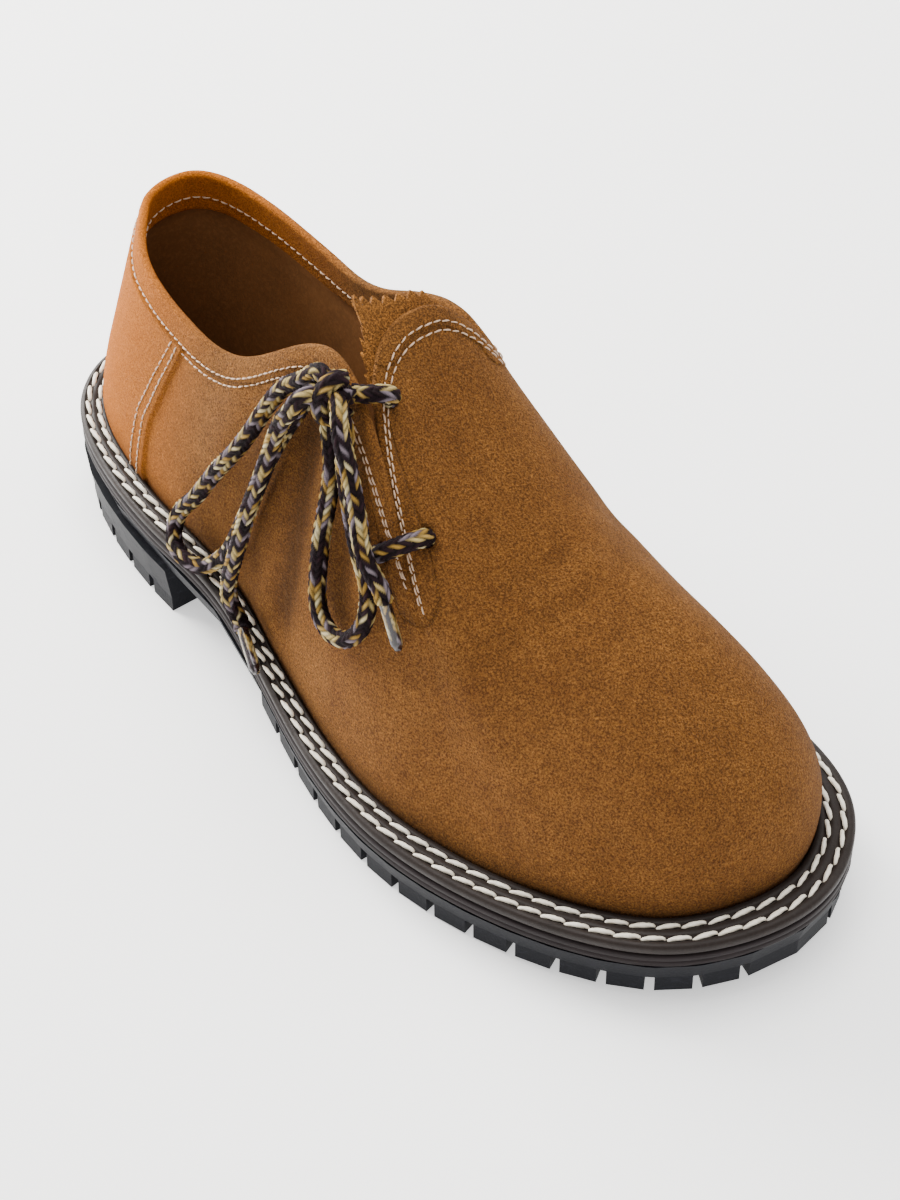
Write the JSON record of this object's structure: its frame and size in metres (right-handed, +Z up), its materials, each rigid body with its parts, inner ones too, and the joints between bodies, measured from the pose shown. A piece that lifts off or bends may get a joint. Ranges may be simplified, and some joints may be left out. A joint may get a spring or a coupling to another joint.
{
  "type": "traditional shoe",
  "caption": "Side-laced suede folk shoe with a stitched welt, pinked tongue, braided bow lace and a lugged rubber sole, for the right foot.",
  "frame": {"origin": "on the floor plane, at the centre of the shoe's length and width, under its bounding box", "axes": "+X from the heel to the toe, +Y to the inner side of the right foot, +Z up"},
  "size_m": [0.302, 0.1186, 0.1407],
  "materials": {
    "outsole": "matte moulded rubber",
    "heel_block": "matte moulded rubber",
    "midsole": "brown board with a waxed edge",
    "welt": "waxed smooth leather, half gloss",
    "upper": "brushed suede, matte",
    "tongue": "brushed suede, matte",
    "insole": "smooth lining leather",
    "lace_bar_low": "round braided cord",
    "lace_bar_top": "round braided cord",
    "lace_knot": "round braided cord",
    "lace_loop_back": "round braided cord",
    "lace_loop_front": "round braided cord",
    "lace_end_back": "round braided cord",
    "lace_end_front": "round braided cord",
    "aglet_back": "clear brown heat-shrunk sleeve",
    "aglet_front": "clear brown heat-shrunk sleeve"
  },
  "bodies": {
    "root": {"outsole": "outsole", "heel_block": "heel_block", "midsole": "midsole", "welt": "welt", "upper": "upper", "tongue": "tongue", "insole": "insole", "lace_bar_low": "lace_bar_low", "lace_bar_top": "lace_bar_top", "lace_knot": "lace_knot", "lace_loop_back": "lace_loop_back", "lace_loop_front": "lace_loop_front", "lace_end_back": "lace_end_back", "lace_end_front": "lace_end_front", "aglet_back": "aglet_back", "aglet_front": "aglet_front"}
  },
  "joints": []
}
